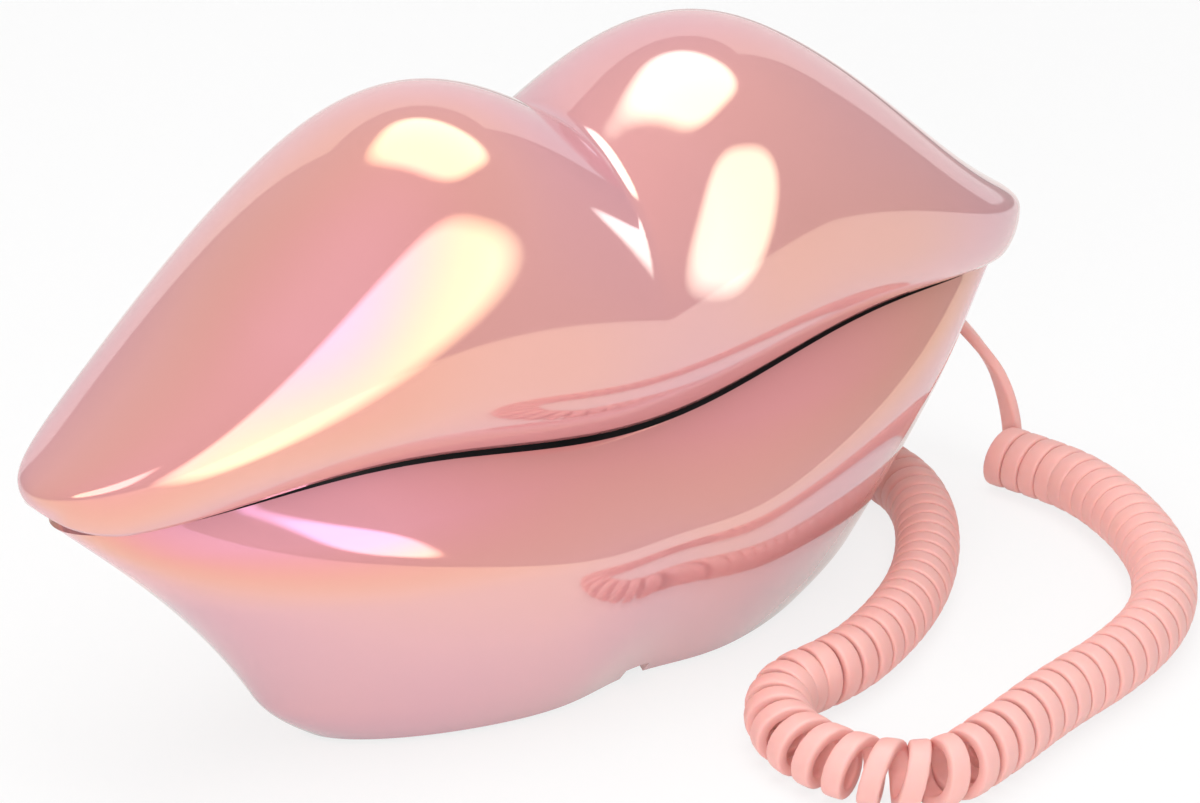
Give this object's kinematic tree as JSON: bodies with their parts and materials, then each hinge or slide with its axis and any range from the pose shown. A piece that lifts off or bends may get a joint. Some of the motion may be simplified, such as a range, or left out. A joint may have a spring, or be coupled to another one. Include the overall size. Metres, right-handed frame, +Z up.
{
  "type": "novelty telephone",
  "caption": "Corded telephone shaped like a pair of lips: the upper lip lifts off as the handset with a keypad, the lower lip is the base, and a curly cord joins them.",
  "frame": {"origin": "on the table under the middle of the lips", "axes": "+X to the right along the lips as seen from the front, -Y to the front, +Z up"},
  "size_m": [0.233, 0.1518, 0.116],
  "materials": {
    "lip_gloss": "pearl pink gloss with an iridescent film",
    "black_plastic": "fine moulded grain",
    "key_plastic": "satin with plain printed figures",
    "circuit_board": "solder mask",
    "silicone": "matt silicone",
    "foot_rubber": "matt",
    "steel": "zinc plated",
    "speaker_metal": "black frame",
    "jack_plastic": "ivory nylon",
    "cord_pink": "matt salmon pink PVC"
  },
  "bodies": {
    "base": {"base_shell": "lip_gloss", "cradle_deck": "black_plastic", "cradle_rim": "black_plastic", "bottom_plate": "black_plastic", "base_board": "circuit_board", "hook_spring": "steel", "hook_switch": "black_plastic", "ringer": "black_plastic", "line_jack": "jack_plastic", "ringer_switch": "black_plastic", "base_sleeve": "cord_pink", "base_screw_1": "steel", "base_screw_2": "steel", "base_screw_3": "steel", "base_screw_4": "steel", "foot_1": "foot_rubber", "foot_2": "foot_rubber", "foot_3": "foot_rubber", "foot_4": "foot_rubber", "cord_curls": "cord_pink", "cord_tail_handset": "cord_pink", "cord_tail_base": "cord_pink"},
    "handset": {"handset_shell": "lip_gloss", "handset_face": "black_plastic", "keypad_mat": "silicone", "handset_board": "circuit_board", "ear_speaker": "speaker_metal", "ear_ring": "black_plastic", "mic_boot": "silicone", "microphone": "speaker_metal", "handset_sleeve": "cord_pink", "handset_screw_1": "steel", "handset_screw_2": "steel", "handset_screw_3": "steel", "handset_screw_4": "steel"},
    "hook": {"hook_plunger": "black_plastic"},
    "ringer_slider": {"ringer_knob": "black_plastic"},
    "button_1": {"key_1": "key_plastic"},
    "button_2": {"key_2": "key_plastic"},
    "button_3": {"key_3": "key_plastic"},
    "button_4": {"key_4": "key_plastic"},
    "button_5": {"key_5": "key_plastic"},
    "button_6": {"key_6": "key_plastic"},
    "button_7": {"key_7": "key_plastic"},
    "button_8": {"key_8": "key_plastic"},
    "button_9": {"key_9": "key_plastic"},
    "button_star": {"key_star": "key_plastic"},
    "button_0": {"key_0": "key_plastic"},
    "button_hash": {"key_hash": "key_plastic"},
    "button_redial": {"key_redial": "key_plastic"},
    "button_mute": {"key_mute": "key_plastic"},
    "button_flash": {"key_flash": "key_plastic"}
  },
  "joints": [
    {"name": "handset_lift", "type": "slide", "parent": "base", "child": "handset", "axis": [0, 0, 1], "range_m": [0, 0.1], "deforming": ["cord_tail_handset"]},
    {"name": "hook_rise", "type": "slide", "parent": "base", "child": "hook", "axis": [0, 0, 1], "range_m": [0, 0.004], "deforming": ["hook_spring"]},
    {"name": "ringer_slide", "type": "slide", "parent": "base", "child": "ringer_slider", "axis": [1, 0, 0], "range_m": [-0.003, 0.003]},
    {"name": "press_1", "type": "slide", "parent": "handset", "child": "button_1", "axis": [0, 0, 1], "range_m": [0, 0.0012], "stiffness_N_per_m": 400},
    {"name": "press_2", "type": "slide", "parent": "handset", "child": "button_2", "axis": [0, 0, 1], "range_m": [0, 0.0012], "stiffness_N_per_m": 400},
    {"name": "press_3", "type": "slide", "parent": "handset", "child": "button_3", "axis": [0, 0, 1], "range_m": [0, 0.0012], "stiffness_N_per_m": 400},
    {"name": "press_4", "type": "slide", "parent": "handset", "child": "button_4", "axis": [0, 0, 1], "range_m": [0, 0.0012], "stiffness_N_per_m": 400},
    {"name": "press_5", "type": "slide", "parent": "handset", "child": "button_5", "axis": [0, 0, 1], "range_m": [0, 0.0012], "stiffness_N_per_m": 400},
    {"name": "press_6", "type": "slide", "parent": "handset", "child": "button_6", "axis": [0, 0, 1], "range_m": [0, 0.0012], "stiffness_N_per_m": 400},
    {"name": "press_7", "type": "slide", "parent": "handset", "child": "button_7", "axis": [0, 0, 1], "range_m": [0, 0.0012], "stiffness_N_per_m": 400},
    {"name": "press_8", "type": "slide", "parent": "handset", "child": "button_8", "axis": [0, 0, 1], "range_m": [0, 0.0012], "stiffness_N_per_m": 400},
    {"name": "press_9", "type": "slide", "parent": "handset", "child": "button_9", "axis": [0, 0, 1], "range_m": [0, 0.0012], "stiffness_N_per_m": 400},
    {"name": "press_star", "type": "slide", "parent": "handset", "child": "button_star", "axis": [0, 0, 1], "range_m": [0, 0.0012], "stiffness_N_per_m": 400},
    {"name": "press_0", "type": "slide", "parent": "handset", "child": "button_0", "axis": [0, 0, 1], "range_m": [0, 0.0012], "stiffness_N_per_m": 400},
    {"name": "press_hash", "type": "slide", "parent": "handset", "child": "button_hash", "axis": [0, 0, 1], "range_m": [0, 0.0012], "stiffness_N_per_m": 400},
    {"name": "press_redial", "type": "slide", "parent": "handset", "child": "button_redial", "axis": [0, 0, 1], "range_m": [0, 0.0012], "stiffness_N_per_m": 400},
    {"name": "press_mute", "type": "slide", "parent": "handset", "child": "button_mute", "axis": [0, 0, 1], "range_m": [0, 0.0012], "stiffness_N_per_m": 400},
    {"name": "press_flash", "type": "slide", "parent": "handset", "child": "button_flash", "axis": [0, 0, 1], "range_m": [0, 0.0012], "stiffness_N_per_m": 400}
  ],
  "couplings": [
    {"joint": "hook_rise", "follows": "handset_lift", "ratio": 0.04}
  ]
}
